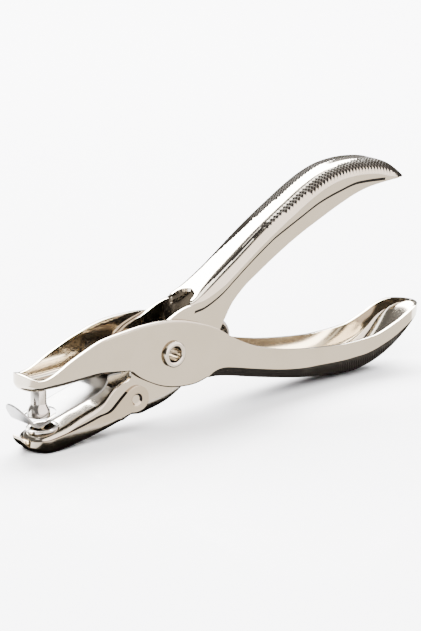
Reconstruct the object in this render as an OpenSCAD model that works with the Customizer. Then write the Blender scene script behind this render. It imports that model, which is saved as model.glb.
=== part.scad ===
// Hand punch for single holes: two crossed sheet steel levers that turn on a hollow rivet.
// +X points to the handles, the jaws lie at -X, +Z is up. The origin is the middle of the rivet.

/* [Rivet and joint] */
// Radius of the bore through the hollow rivet
rivet_bore_r = 2.2; // [1.8:0.1:2.4]
// Radius of the rivet's shank
rivet_shank_r = 2.65; // [2.6:0.05:3]
// Radius of the rivet's rolled head
rivet_head_r = 3.4; // [3.2:0.1:4]
// How far each rolled head stands off the outer lever
rivet_head_h = 1.2; // [0.8:0.1:1.5]
// Radial clearance between the shank and the ears that turn on it
turn_gap = 0.05; // [0.02:0.01:0.1]
// Angle through which the jaws close
close_angle = 5; // [4:0.5:5]

/* [Outer lever] */
// Sheet thickness of both levers
lever_t = 0.9; // [0.7:0.1:1]
// Half width of the upper jaw
jaw_half_w = 5.6; // [5.4:0.1:6]
// Half width over the outer ears
ear_half_w = 6.7; // [6.6:0.1:7.2]
// Half width of the lower handle
grip_half_w = 7.5; // [7.2:0.1:8]
// Front of the upper jaw
jaw_front_x = -48.1; // [-49:0.1:-47]
// End of the lower handle
grip_end_x = 96.8; // [94:0.5:100]
// Length over which the lower handle's end rounds off in plan
grip_end_len = 11; // [8:0.5:14]
// Width of the rounded shoulders under the lower handle
belly_round_w = 6.3; // [5:0.1:6.6]
// Height of the rounded shoulders under the lower handle
belly_round_h = 5.4; // [4:0.1:6]
// Where the upper jaw's web ends in front of the ears
jaw_web_end_x = -15.2; // [-16:0.1:-15]
// Where the lower handle's web begins behind the ears
grip_web_start_x = 12.3; // [12:0.1:14]

/* [Inner lever] */
// Side gap between the outer and the inner ears
ear_gap = 0.3; // [0.2:0.05:0.4]
// Half width of the upper handle
top_grip_half_w = 6.3; // [6:0.1:6.6]
// End of the upper handle
top_grip_end_x = 89.8; // [87:0.5:92]
// Radius of the rounded shoulders along the upper handle's crown
crown_round_r = 4; // [3:0.1:5]
// Where the lower jaw's web ends behind the throat
anvil_web_end_x = -19.5; // [-21:0.1:-19]
// Where the upper handle's web begins
top_grip_web_start_x = 11.5; // [10:0.1:12]

/* [Punch] */
// Radius of the cutting end
pin_r = 3.15; // [2.9:0.05:3.2]
// Radius of the pin above its cutting end
pin_neck_r = 2.2; // [1.9:0.1:2.5]
// Distance from the pivot to the pin's axis
pin_x = 41.15; // [40.9:0.05:41.3]
// Depth of the cutting edge below the pivot
pin_tip_drop = 11.1; // [10.9:0.1:11.3]
// Height of the straight cutting land
pin_land_h = 1.3; // [1:0.1:1.8]
// Height of the flare above the land
pin_flare_h = 2.2; // [1.6:0.1:2.6]
// Radius of the pin's upset head
pin_head_r = 3.1; // [2.8:0.1:3.4]
// Height of the pin's upset head
pin_head_h = 1; // [0.7:0.1:1.2]
// Radial gap between the pin and the die
die_gap = 0.15; // [0.12:0.01:0.25]
// How deep the pin enters the die when the jaws are closed
die_entry = 0.5; // [0.3:0.1:0.6]
// Radius of the die's collar
die_collar_r = 4.5; // [4.3:0.1:4.6]
// Radius of the die below its collar
die_body_r = 4; // [3.9:0.1:4.1]
// Height of the collar
die_collar_h = 0.9; // [0.6:0.1:1.1]
// Length of the die below its collar
die_body_h = 1.6; // [1.3:0.1:1.8]

/* [Stripper] */
// Thickness of the leaf
leaf_t = 0.5; // [0.3:0.05:0.6]
// Half width of the leaf
leaf_half_w = 5.7; // [5.3:0.1:5.9]
// Half width of the tab that the rivets hold
tab_half_w = 4; // [3.6:0.1:4.2]
// Front edge of the upturned wing
wing_front_x = -50.4; // [-51:0.1:-50]
// Length over which the wing rounds off in plan
wing_round_len = 5.2; // [4:0.1:6]
// Radius of the hole that the pin passes through
leaf_hole_r = 4.7; // [4.2:0.1:4.8]
// Place of the two small rivets along the jaw
tack_x = -17.5; // [-18:0.1:-17.4]
// Distance from the middle to each small rivet
tack_y = 2.1; // [1.9:0.1:2.3]
// Radius of the small rivets
tack_r = 0.8; // [0.6:0.1:0.9]
// Radius of the small rivets' heads
tack_head_r = 1.4; // [1.2:0.1:1.5]
// Height of the small rivets' heads
tack_head_h = 0.5; // [0.3:0.1:0.6]

/* [Chip pan] */
// Sheet thickness of the pan
pan_t = 0.5; // [0.3:0.1:0.6]
// Side gap between the pan and the lower jaw
pan_gap = 0.15; // [0.1:0.05:0.3]
// Distance from the pivot back to the dimples that the pan swings on
dimple_x = 12.3; // [12:0.1:12.6]
// Depth of the dimples below the pivot
dimple_drop = 10.9; // [10.7:0.1:11.2]
// Radius of each dimple
dimple_r = 1.7; // [1.4:0.1:1.9]
// Radius of the pan's ears
pan_ear_r = 4; // [3.6:0.1:4]
// Where the pan's floor ends in front of the ears
pan_floor_end_x = -17.6; // [-20:0.5:-17]
// Half width of the finger lip
lip_half_w = 2.3; // [2:0.1:3]
// Radius of the vent holes in the floor
vent_r = 1.4; // [1:0.1:1.5]
// Distance between the rows of vent holes
vent_pitch = 5; // [4.6:0.1:5.2]
// Distance from the middle to the holes that stand in pairs
vent_y = 2.4; // [2.2:0.1:2.8]

/* [Spring] */
// Diameter of the spring wire
wire_d = 1.2; // [0.9:0.1:1.3]
// Mean radius of the coil
coil_r = 4.9; // [4.5:0.1:5]
// Width of the coil between its end turns
coil_w = 7.4; // [6.5:0.1:7.5]
// Whole turns in the coil
coil_turns = 5; // [3:1:5]
// Place of the coil along the levers
coil_x = 16.7; // [16.4:0.1:17]
// Height of the coil's axis
coil_z = 0.5; // [0:0.1:0.8]
// Direction of the leg that bears on the upper handle
leg_up_angle = 81; // [78:1:84]
// Length of the leg that bears on the upper handle
leg_up_len = 12.5; // [10:0.5:14]
// Direction of the leg that bears on the lower handle
leg_down_angle = -28; // [-30:1:-26]
// Length of the leg that bears on the lower handle
leg_down_len = 15.8; // [10:0.2:16]

/* [Hidden] */
$fn = 72;
far = 150;
fit = 0.02;
spigot_step = 0.4;
pin_spigot_r = pin_neck_r - spigot_step;
tack_play = 0.12;
seat_gap = 0.08;
dimple_depth = 0.55;
inner_half_w = ear_half_w - lever_t - ear_gap;
pan_half_w = inner_half_w + pan_gap + pan_t;
arc_steps = 10;
curve_steps = 4;
wire_sides = 8;
turn_steps = 18;
vent_x = -35;
vent_rows = 4;
ear_start_x = -16;
ear_end_x = 12;
jaw_end_x = -24;
grip_start_x = 26;
top_grip_start_x = 20;
tab_end_x = -15.5;
tab_start_x = -20.8;
leaf_start_x = -21.8;
roll = 0.4;
bore_bevel = 0.24;
pin_head_bevel = 0.4;
tack_bevel = 0.3;
round_steps = 6;
disc_steps = 360;

// Side view of the outer lever as x and z: the open rim and the lower edges, from the jaw to the handle
outer_rim = [
    [-49.5, 2.4], [-44, 0.4], [-38, 2.1], [-31, 5.4], [-24, 8], [-16, 9.6], [-8, 10.2], [0, 9.7],
    [8, 7.6], [15, 4.7], [22, 0.3], [30, -3.5], [40, -6.2], [52, -8.1], [64, -9.1], [75, -8.7],
    [84, -6.2], [89, -4.5], [93, -3.9], [97, -3.7]
];
jaw_belly = [
    [-49.5, -3], [-46, -3], [-41, -3], [-36, -3], [-30, -2.6], [-24, -2.3], [-18, -2.3],
    [jaw_web_end_x, -2.3]
];
ear_belly = [
    [-11.5, -4.9], [-8, -6.9], [-4, -8.6], [0, -9.7], [5, -10.2], [9, -9.7], [grip_web_start_x, -8.3]
];

// Belly of the lower handle as arcs, each through three points of its middle line
belly_arcs = [
    [[grip_web_start_x, -9.7], [40, -15.9], [62, -19.5]],
    [[62, -19.5], [69, -19.8], [77, -18.7]],
    [[77, -18.7], [87, -12.9], [97, -4.2]]
];

// Side view of the inner lever: web of the lower jaw, front of the ear, open edges
anvil_web = [
    [-46.5, -15.7], [-43, -15.35], [-40, -15], [-36, -14.2], [-31, -12.4], [-26, -10.9],
    [-23.3, -9.8], [-21.2, -7.9], [anvil_web_end_x, -6.4]
];
ear_front = [
    [-17.1, -5.5], [-13.6, -4.2], [-13, -1], [-12, 3], [-9, 6.2], [-5, 8], [-1, 9.4], [3.2, 11.6],
    [6, 12.2], [8.3, 12.4], [top_grip_web_start_x, 13.7]
];
top_rim = [
    [top_grip_end_x, 36], [84, 37], [77, 36.6], [69, 35.2], [61.5, 32.6], [54, 29.5], [46.5, 26.2],
    [39, 22.3], [31.5, 17.9], [25, 13.6], [21, 9.6], [18.8, 6.1]
];
ear_back = [
    [16.5, 2.6], [13, -1.6], [9.5, -5.6], [6.5, -8.8], [3.8, -10.5], [-0.5, -12.8], [-4, -14],
    [-7.5, -14.7], [-11, -15.3]
];
anvil_rim = [[-14.8, -14.9], [-18.5, -15.3], [-25, -16.9], [-32, -18.1], [-38.5, -18.9], [-46.5, -18.8]];

// Crown of the upper handle as arcs, each through three points of its middle line
crown_arcs = [
    [[top_grip_web_start_x, 15.3], [30, 27.5], [50, 39.5]],
    [[50, 39.5], [57, 42.7], [64, 44.2]],
    [[64, 44.2], [78, 43.2], [91, 36.8]]
];

// Side view of the chip pan: rim, then floor
pan_rim = [
    [-47, -16.9], [-42, -16.5], [-35.5, -15.6], [-28.5, -14.2], [-25, -13.3], [-20.6, -12.3],
    [-18.4, -10.4], [-16.2, -8.6]
];
pan_floor = [
    [-12.4, -15.6], [-18.5, -16.3], [-25, -17.9], [-32, -19.2], [-38, -20.1], [-42, -20.3],
    [-47, -19.4]
];
lip_line = [[-45.8, -18.7], [-47.2, -17.8], [-48.2, -16.6], [-48.6, -15.2]];

// Middle line of the stripper: tab, bend, leaf and front wing
leaf_tab = [[-15.9, -2.78], [-20.2, -2.95]];
leaf_bend = [[-20.2, -2.95], [-21.8, -3.5], [-22.8, -4.7], [-23.9, -5.9], [-25.6, -6.7]];
leaf_wing = [[-44.6, -12], [-45.7, -12.1], [-46.4, -11.3], [-51.1, -5.1]];

die_axis_x = pin_x * cos(close_angle) - (pin_tip_drop - die_entry) * sin(close_angle);
die_top_z = -(pin_x * sin(close_angle) + (pin_tip_drop - die_entry) * cos(close_angle));

// Unit vector from a to b
function toward(a, b) = (b - a) / norm(b - a);

// One point between b and c, at t from 0 to 1, of the smooth curve through a, b, c and d
function curve_point(a, b, c, d, t) =
    let (reach = norm(c - b), u = 1 - t, start = reach * toward(a, c), end = reach * toward(b, d))
    u * u * (1 + 2 * t) * b + t * t * (1 + 2 * u) * c + t * u * u * start - t * t * u * end;

// Smooth curve through the key points
function smooth(keys) = let (last = len(keys) - 1) [
    for (i = [0:last - 1], s = [0:curve_steps - 1])
        curve_point(keys[max(i - 1, 0)], keys[i], keys[i + 1], keys[min(i + 2, last)], s / curve_steps),
    keys[last]
];

// Unit vector to the left of the direction from a to b
function left_of(a, b) = let (d = toward(a, b)) [-d[1], d[0]];

// The line moved sideways to its left by d
function beside(line, d) = let (last = len(line) - 1) [
    for (i = [0:last]) line[i] + d * left_of(line[max(i - 1, 0)], line[min(i + 1, last)])
];

// The points in reverse order
function back(points) = [for (i = [len(points) - 1:-1:0]) points[i]];

// Quarter of an oval in plan from its tip on the middle line to the side
function round_end(tip_x, len, half_w, sense) = [
    for (i = [0:arc_steps])
        let (a = 90 * i / arc_steps)
        [tip_x + sense * len * (cos(a) - 1), half_w * sin(a)]
];

// Centre of the circle through a, b and c
function circle_centre(a, b, c) =
    let (
        ab = b - a,
        ac = c - a,
        twice = 2 * (ab[0] * ac[1] - ab[1] * ac[0]),
        ab2 = ab * ab,
        ac2 = ac * ac
    )
    a + [ac[1] * ab2 - ab[1] * ac2, ab[0] * ac2 - ac[0] * ab2] / twice;

// Both halves of an outline given on the +y side
function both_sides(half) = concat(half, [for (p = back(half)) if (p[1] > fit) [p[0], -p[1]]]);

// A strip of thickness t along a line
function strip(line, t) = concat(beside(line, t / 2), back(beside(line, -t / 2)));

// Extrudes a side view across the levers
module across(points, half_w = far) {
    rotate([90, 0, 0])
        linear_extrude(2 * half_w, center = true)
            polygon(points);
}

// Extrudes a plan view through the full height
module upright(points) {
    linear_extrude(2 * far, center = true)
        polygon(points);
}

// A cylinder across the levers
module cross_pin(r, half_len, x = 0, z = 0) {
    translate([x, 0, z])
        rotate([90, 0, 0])
            cylinder(h = 2 * half_len, r = r, center = true);
}

// A slice across everything, from x0 to x1
module slice(x0, x1) {
    across([[x0, -far], [x1, -far], [x1, far], [x0, far]]);
}

// Everything in front of the first arc, then the inside of the arcs with their rounded shoulders.
// All of it is drawn inside the outline by d.
module arched(arcs, half_w, round_w, round_h, d) {
    slice(-far, arcs[0][0][0]);
    for (arc = arcs)
        let (centre = circle_centre(arc[0], arc[1], arc[2]), r = norm(arc[0] - centre))
            intersection() {
                slice(arc[0][0], arc == arcs[len(arcs) - 1] ? far : arc[2][0]);
                translate([centre[0], 0, centre[1]])
                    rotate([90, 0, 0])
                        rotate_extrude($fn = disc_steps)
                            polygon(disc_profile(r - d, half_w - d, round_w - d, round_h - d));
            }
}

// Half section of a disc across the levers whose shoulders are quarter ovals
function disc_profile(r, half_w, round_w, round_h) =
    let (
        shoulder = [
            for (i = [0:round_steps])
                let (a = 90 * i / round_steps)
                [r - round_h * (1 - cos(a)), half_w - round_w * (1 - sin(a))]
        ]
    )
    concat(shoulder, [[0, half_w], [0, -half_w]], [for (p = back(shoulder)) [p[0], -p[1]]]);

// Plan of the outer lever, drawn inside its outline by d
function outer_plan(d) = both_sides(concat(
    round_end(jaw_front_x + d, jaw_half_w - d, jaw_half_w - d, -1),
    [
        [jaw_end_x, jaw_half_w - d], [ear_start_x, ear_half_w - d], [ear_end_x, ear_half_w - d],
        [grip_start_x, grip_half_w - d]
    ],
    back(round_end(grip_end_x - d, grip_end_len - d, grip_half_w - d, 1))
));

// Plan of the inner lever, drawn inside its outline by d
function inner_plan(d) = both_sides(concat(
    round_end(-die_axis_x - inner_half_w + d, inner_half_w - d, inner_half_w - d, -1),
    [[ear_end_x, inner_half_w - d], [top_grip_start_x, top_grip_half_w - d]],
    back(round_end(top_grip_end_x - d, top_grip_half_w - d, top_grip_half_w - d, 1))
));

// Plan of the chip pan, drawn inside its outline by d and open at the back when it is moved inwards
function pan_plan(d) = both_sides(concat(
    round_end(-die_axis_x - pan_half_w + d, pan_half_w - d, pan_half_w - d, -1),
    [[d > 0 ? far : 0, pan_half_w - d]]
));

// Plan of the stripper with its rounded wing and its narrow tab
leaf_plan = both_sides(concat(
    round_end(wing_front_x, wing_round_len, leaf_half_w, -1),
    [
        [leaf_start_x, leaf_half_w], [tab_start_x, tab_half_w], [tab_end_x, tab_half_w],
        [tab_end_x, 0]
    ]
));

// Upper jaw, outer ears and lower handle, bent from one blank
module outer_lever() {
    outline = concat(
        smooth(outer_rim),
        [[far, outer_rim[len(outer_rim) - 1][1]], [far, -far], [grip_web_start_x + fit, -far]],
        back(smooth(concat(jaw_belly, ear_belly)))
    );
    room = concat(
        [[-far, far]],
        beside(smooth(jaw_belly), lever_t),
        [[jaw_web_end_x, -far], [far, -far], [far, far]]
    );
    color("tan")
        difference() {
            intersection() {
                across(outline);
                upright(outer_plan(0));
                arched(belly_arcs, grip_half_w, belly_round_w, belly_round_h, 0);
            }
            intersection() {
                across(room);
                upright(outer_plan(lever_t));
                arched(belly_arcs, grip_half_w, belly_round_w, belly_round_h, lever_t);
            }
            cross_pin(rivet_shank_r + fit, far);
            translate([-pin_x, 0, -far / 2])
                cylinder(h = far, r = pin_spigot_r + fit);
            tack_holes(tack_r + fit);
        }
}

// Lower jaw, inner ears and upper handle, bent from one blank
module inner_lever() {
    room = concat(
        [[-far, -far]],
        beside(smooth(anvil_web), -lever_t),
        [[anvil_web_end_x, far], [far, far], [far, -far]]
    );
    outline = concat(
        smooth(concat(anvil_web, ear_front)),
        [[top_grip_web_start_x + fit, far], [far, far], [far, top_rim[0][1]]],
        smooth(top_rim), smooth(ear_back), smooth(anvil_rim)
    );
    color("wheat")
        difference() {
            intersection() {
                across(outline);
                upright(inner_plan(0));
                arched(crown_arcs, top_grip_half_w, crown_round_r, crown_round_r, 0);
            }
            intersection() {
                across(room);
                upright(inner_plan(lever_t));
                arched(crown_arcs, top_grip_half_w, crown_round_r, crown_round_r, lever_t);
            }
            cross_pin(rivet_shank_r + turn_gap, far);
            cross_pin(dimple_r + turn_gap, far, -dimple_x, -dimple_drop);
            on_die_axis() {
                translate([0, 0, -far / 2])
                    cylinder(h = far, r = die_body_r + fit);
                translate([0, 0, -die_collar_h - fit])
                    cylinder(h = far, r = die_collar_r + fit);
            }
        }
}

// Tubular rivet with a rolled head on each side
module pivot_rivet() {
    seat = ear_half_w + fit;
    half = [
        [rivet_shank_r, 0], [rivet_shank_r, seat], [rivet_head_r, seat],
        [rivet_head_r, seat + rivet_head_h - roll], [rivet_head_r - roll, seat + rivet_head_h],
        [rivet_bore_r + bore_bevel, seat + rivet_head_h], [rivet_bore_r, seat + rivet_head_h - bore_bevel]
    ];
    color("silver")
        rotate([90, 0, 0])
            rotate_extrude()
                polygon(concat(half, [for (i = [len(half) - 1:-1:1]) [half[i][0], -half[i][1]]]));
}

// Torsion spring in the crotch: a coil across the levers and a leg along each handle's web
module torsion_spring() {
    start = leg_down_angle + 270;
    sweep = 360 * coil_turns + start - leg_up_angle - 90;
    steps = ceil(sweep / 360 * turn_steps);
    coil = [
        for (i = [0:steps]) let (a = start - sweep * i / steps)
            [coil_x + coil_r * cos(a), coil_w * (0.5 - i / steps), coil_z + coil_r * sin(a)]
    ];
    down = leg_down_len * [cos(leg_down_angle), 0, sin(leg_down_angle)];
    up = leg_up_len * [cos(leg_up_angle), 0, sin(leg_up_angle)];
    color("gray")
        wire(concat([coil[0] + down], coil, [coil[steps] + up]));
}

// Round wire along a path that nowhere runs straight across the levers
module wire(path) {
    last = len(path) - 1;
    points = [
        for (i = [0:last])
            let (
                d = path[min(i + 1, last)] - path[max(i - 1, 0)],
                along = d / norm(d),
                side = cross(along, cross([0, 1, 0], along)),
                n = side / norm(side),
                m = cross(along, n)
            )
            for (k = [0:wire_sides - 1])
                path[i] + wire_d / 2 * (cos(360 * k / wire_sides) * n + sin(360 * k / wire_sides) * m)
    ];
    skin = [
        for (i = [0:last - 1], k = [0:wire_sides - 1])
            let (next = (k + 1) % wire_sides, a = i * wire_sides, b = a + wire_sides)
            [a + k, b + k, b + next, a + next]
    ];
    caps = [
        [for (k = [0:wire_sides - 1]) k],
        [for (k = [wire_sides - 1:-1:0]) last * wire_sides + k]
    ];
    polyhedron(points, concat(skin, caps));
}

// Punch pin: cutting land, flare, neck, and a spigot upset over the jaw's web
module punch_pin() {
    web_z = lookup(-pin_x, jaw_belly);
    land_z = pin_land_h - pin_tip_drop;
    shoulder_z = web_z - seat_gap;
    head_z = web_z + lever_t + seat_gap;
    color("dimgray")
        translate([-pin_x, 0, 0])
            rotate_extrude()
                polygon([
                    [0, -pin_tip_drop], [pin_r, -pin_tip_drop], [pin_r, land_z],
                    [pin_neck_r, land_z + pin_flare_h], [pin_neck_r, shoulder_z],
                    [pin_spigot_r, shoulder_z], [pin_spigot_r, head_z], [pin_head_r, head_z],
                    [pin_head_r - pin_head_bevel, head_z + pin_head_h], [0, head_z + pin_head_h]
                ]);
}

// Places the die so that it stands square to the pin when the jaws are closed
module on_die_axis() {
    translate([-die_axis_x, 0, die_top_z])
        rotate([0, -close_angle, 0])
            children();
}

// Die bush with its collar on the lower jaw's web
module die_bush() {
    color("darkgray")
        on_die_axis()
            rotate_extrude()
                polygon([
                    [pin_r + die_gap, 0], [die_collar_r, 0], [die_collar_r, -die_collar_h],
                    [die_body_r, -die_collar_h], [die_body_r, -die_collar_h - die_body_h],
                    [pin_r + die_gap, -die_collar_h - die_body_h]
                ]);
}

// Stripper: a leaf spring with a tab under the jaw, a hole for the pin and a wing at the front
module stripper() {
    line = concat([leaf_tab[0]], smooth(leaf_bend), smooth(leaf_wing));
    color("lightgray")
        difference() {
            intersection() {
                across(strip(line, leaf_t));
                upright(leaf_plan);
            }
            translate([-pin_x, 0, -far / 2])
                cylinder(h = far, r = leaf_hole_r);
            tack_holes(tack_r + tack_play);
        }
}

// A vertical hole for each small rivet
module tack_holes(r) {
    for (side = [-1, 1])
        translate([tack_x, side * tack_y, -far / 2])
            cylinder(h = far, r = r);
}

// The two small rivets that hold the stripper's tab under the upper jaw
module stripper_rivets() {
    top_z = lookup(tack_x, jaw_belly) + lever_t + seat_gap;
    low_z = lookup(tack_x, leaf_tab) - leaf_t / 2 - tack_play;
    color("silver")
        for (side = [-1, 1])
            translate([tack_x, side * tack_y, 0])
                rotate_extrude()
                    polygon([
                        [0, low_z - tack_head_h], [tack_head_r - tack_bevel, low_z - tack_head_h],
                        [tack_head_r, low_z - tack_head_h + tack_bevel], [tack_head_r, low_z],
                        [tack_r, low_z], [tack_r, top_z], [tack_head_r, top_z],
                        [tack_head_r, top_z + tack_head_h - tack_bevel],
                        [tack_head_r - tack_bevel, top_z + tack_head_h], [0, top_z + tack_head_h]
                    ]);
}

// Chip pan: a tray under the lower jaw that swings down on two dimples
module chip_pan() {
    room = concat(
        [[-far, far]],
        back(beside(smooth(pan_floor), -pan_t)),
        [[far, far]]
    );
    color("goldenrod") {
        difference() {
            intersection() {
                union() {
                    across(concat(smooth(pan_rim), smooth(pan_floor)));
                    cross_pin(pan_ear_r, far, -dimple_x, -dimple_drop);
                }
                upright(pan_plan(0));
            }
            intersection() {
                union() {
                    across(room);
                    across([[pan_floor_end_x, -far], [far, -far], [far, far], [pan_floor_end_x, far]]);
                }
                upright(pan_plan(pan_t));
            }
            for (row = [0:vent_rows - 1], y = row % 2 == 0 ? [-vent_y, vent_y] : [0])
                translate([vent_x + row * vent_pitch, y, -far])
                    cylinder(h = far, r = vent_r);
            cross_pin(dimple_r - pan_t, far, -dimple_x, -dimple_drop);
        }
        for (side = [-1, 1])
            translate([-dimple_x, side * (pan_half_w - pan_t / 2), -dimple_drop])
                rotate([90 * side, 0, 0])
                    dimple();
        across(strip(smooth(lip_line), pan_t), lip_half_w);
    }
}

// One dimple as a shallow cup that points along +z
module dimple() {
    depth = pan_gap + dimple_depth + pan_t / 2;
    difference() {
        cylinder(h = depth, r = dimple_r);
        translate([0, 0, -pan_t])
            cylinder(h = depth, r = dimple_r - pan_t);
    }
}

outer_lever();
inner_lever();
pivot_rivet();
torsion_spring();
punch_pin();
die_bush();
stripper();
stripper_rivets();
chip_pan();
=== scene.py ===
"""Looks of the single hole punch: its visible pieces, finishes, floor, light and camera."""

import logging
import math
from dataclasses import dataclass
from enum import Enum, IntEnum
from typing import Any, Callable, ClassVar, Sequence

import bmesh
import bpy
import numpy as np
from mathutils import Matrix, Vector
from mathutils.kdtree import KDTree


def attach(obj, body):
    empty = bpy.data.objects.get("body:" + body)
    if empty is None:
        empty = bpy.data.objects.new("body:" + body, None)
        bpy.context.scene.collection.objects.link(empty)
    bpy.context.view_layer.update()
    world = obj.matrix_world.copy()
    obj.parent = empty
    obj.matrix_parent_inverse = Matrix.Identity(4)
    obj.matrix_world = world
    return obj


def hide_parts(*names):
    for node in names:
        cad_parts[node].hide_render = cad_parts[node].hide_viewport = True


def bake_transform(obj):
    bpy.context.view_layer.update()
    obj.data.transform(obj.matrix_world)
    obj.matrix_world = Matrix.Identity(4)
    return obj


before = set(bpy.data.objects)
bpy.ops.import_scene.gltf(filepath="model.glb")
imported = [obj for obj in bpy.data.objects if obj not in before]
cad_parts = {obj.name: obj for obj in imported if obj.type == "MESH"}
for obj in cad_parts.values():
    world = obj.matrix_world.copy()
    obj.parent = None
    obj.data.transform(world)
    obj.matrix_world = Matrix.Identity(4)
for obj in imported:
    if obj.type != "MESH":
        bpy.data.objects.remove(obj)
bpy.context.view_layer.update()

MM = 0.001
Point = tuple[float, float, float]
Pair = tuple[float, float]
Colour = Point
Number = float | int
Inputs = dict[str | int, Any]

# Places in mm, and the die's lean in degrees, that more than one piece uses.
PIN_X = -41.15
DIE_X, DIE_Z, DIE_TILT = -40.07, -14.15, -5.0
TAB_X, TAB_Y = -17.5, 2.1
PAN_HINGE = (-12.3, -10.9)

log = logging.getLogger("punch")


class Body(Enum):
    """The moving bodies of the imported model."""

    LOWER = "lower_frame"
    UPPER = "upper_frame"
    LEAF = "leaf"
    PAN = "pan"


class Slot(Enum):
    """The material slots of the record."""

    LEVER = "lever_steel"
    RIVET = "rivet_steel"
    SPRING = "spring_steel"
    TOOL = "tool_steel"
    LEAF = "leaf_steel"
    PAN = "pan_steel"


class Web(Enum):
    """The side of a channel that its web closes, as the sign of the sheet's outward turn."""

    BELOW = -1
    ABOVE = 1


class Mark(IntEnum):
    """The finish of a lever's grid cell, as the number of its material slot."""

    PLAIN = 0
    KNURL = 1
    # painted shade: the shadow lines along the pressed step and where a wall without a web ends
    PAINTED_SHADE = 2


class Graph:
    """The node graph of one material or world."""

    def __init__(self, tree: bpy.types.NodeTree) -> None:
        """Empties the tree. Args: tree: the node tree to fill."""
        self.tree = tree
        tree.nodes.clear()

    def node(self, kind: str, settings: dict[str, Any], inputs: Inputs) -> bpy.types.Node:
        """Makes a node.

        Args:
            kind: the node's type name.
            settings: attributes that are set before the inputs.
            inputs: values or Terms for the input sockets, by name or number.

        Returns:
            The new node.
        """
        made = self.tree.nodes.new(kind)
        for key, value in settings.items():
            setattr(made, key, value)
        for key, value in inputs.items():
            socket = made.inputs[key]
            if isinstance(value, Term):
                self.tree.links.new(value.socket, socket)
            else:
                socket.default_value = (*value[:3], 1.0) if socket.type == "RGBA" else value
        return made

    def term(self, kind: str, output: str | int, settings: dict[str, Any], inputs: Inputs) -> "Term":
        """Makes a node. Args: as for node, and output: an output's name or number. Returns: that output."""
        return Term(self, self.node(kind, settings, inputs).outputs[output])

    def millimetres(self, stretch: Point = (1, 1, 1)) -> "Term":
        """Object coordinates in millimetres. Args: stretch: factors along the axes. Returns: a vector Term."""
        place = self.term("ShaderNodeTexCoord", "Object", {}, {})
        return self.term(
            "ShaderNodeVectorMath", "Vector", {"operation": "MULTIPLY"}, {0: place, 1: Vector(stretch) / MM}
        )

    def noise(self, scale: float, detail: float = 2.0, stretch: Point = (1, 1, 1)) -> "Term":
        """Soft noise. Args: scale: cells per mm. detail: octaves. stretch: axis factors. Returns: a value Term."""
        inputs: Inputs = {"Vector": self.millimetres(stretch), "Scale": scale, "Detail": detail}
        return self.term("ShaderNodeTexNoise", "Fac", {}, inputs)

    def blend(self, share: "Term", first: Colour, second: Colour) -> "Term":
        """Mixes two colours. Args: share: 0 to 1. first, second: the colours. Returns: a colour Term."""
        settings = {"data_type": "RGBA", "clamp_factor": True}
        return self.term("ShaderNodeMix", 2, settings, {0: share, 6: first, 7: second})

    def bump(self, height: "Term", strength: float, depth: float) -> "Term":
        """Small relief. Args: height: 0 to 1. strength: its share. depth: in mm. Returns: a normal Term."""
        inputs: Inputs = {"Strength": strength, "Distance": depth * MM, "Height": height}
        return self.term("ShaderNodeBump", "Normal", {}, inputs)

    def close(self, surface: "Term", kind: str = "Material") -> None:
        """Ends the graph. Args: surface: what it shows. kind: Material or World."""
        self.node(f"ShaderNodeOutput{kind}", {}, {"Surface": surface})

    def principled(self, inputs: Inputs) -> None:
        """Ends the graph with a principled surface. Args: inputs: the surface's inputs."""
        self.close(self.term("ShaderNodeBsdfPrincipled", "BSDF", {}, inputs))


class Term:
    """A shader socket that does maths with other sockets and with numbers."""

    def __init__(self, graph: Graph, socket: bpy.types.NodeSocket) -> None:
        """Wraps a socket. Args: graph: its graph. socket: the output socket."""
        self.graph = graph
        self.socket = socket

    def _math(self, operation: str, *terms: "Term | Number") -> "Term":
        """One maths node. Args: operation: its name. terms: its inputs. Returns: the result."""
        return self.graph.term("ShaderNodeMath", 0, {"operation": operation}, dict(enumerate(terms)))

    def __add__(self, other: "Term | Number") -> "Term":
        """Sum."""
        return self._math("ADD", self, other)

    __radd__ = __add__

    def __sub__(self, other: "Term | Number") -> "Term":
        """Difference."""
        return self._math("SUBTRACT", self, other)

    def __rsub__(self, other: Number) -> "Term":
        """Reflected difference."""
        return self._math("SUBTRACT", other, self)

    def __mul__(self, other: "Term | Number") -> "Term":
        """Product."""
        return self._math("MULTIPLY", self, other)

    __rmul__ = __mul__

    def __truediv__(self, other: "Term | Number") -> "Term":
        """Quotient."""
        return self._math("DIVIDE", self, other)

    def __rtruediv__(self, other: Number) -> "Term":
        """Reflected quotient."""
        return self._math("DIVIDE", other, self)

    def crest(self) -> "Term":
        """Distance from the middle between two whole numbers, 1 on a whole number. Returns: 0 to 1."""
        return self._math("PINGPONG", self - 0.5, 0.5) * 2

    def larger(self, other: "Term | Number") -> "Term":
        """The larger one. Args: other: the second value. Returns: the maximum."""
        return self._math("MAXIMUM", self, other)

    def ramp(self, low: float, high: float) -> "Term":
        """Smooth step. Args: low, high: where it starts and ends. Returns: 0 to 1."""
        inputs: Inputs = {"Value": self, "From Min": low, "From Max": high}
        return self.graph.term("ShaderNodeMapRange", "Result", {"interpolation_type": "SMOOTHSTEP"}, inputs)


@dataclass(frozen=True)
class Skin:
    """A finish of any kind. Args: name: the material's name."""

    name: str

    def paint(self, graph: Graph) -> None:
        """Fills the material's graph. Args: graph: the empty graph."""
        raise NotImplementedError

    def material(self) -> bpy.types.Material:
        """Builds the material once. Returns: the material."""
        made = bpy.data.materials.get(self.name)
        if not made:
            made = bpy.data.materials.new(self.name)
            made.use_nodes = True
            self.paint(Graph(made.node_tree))
        return made


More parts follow.
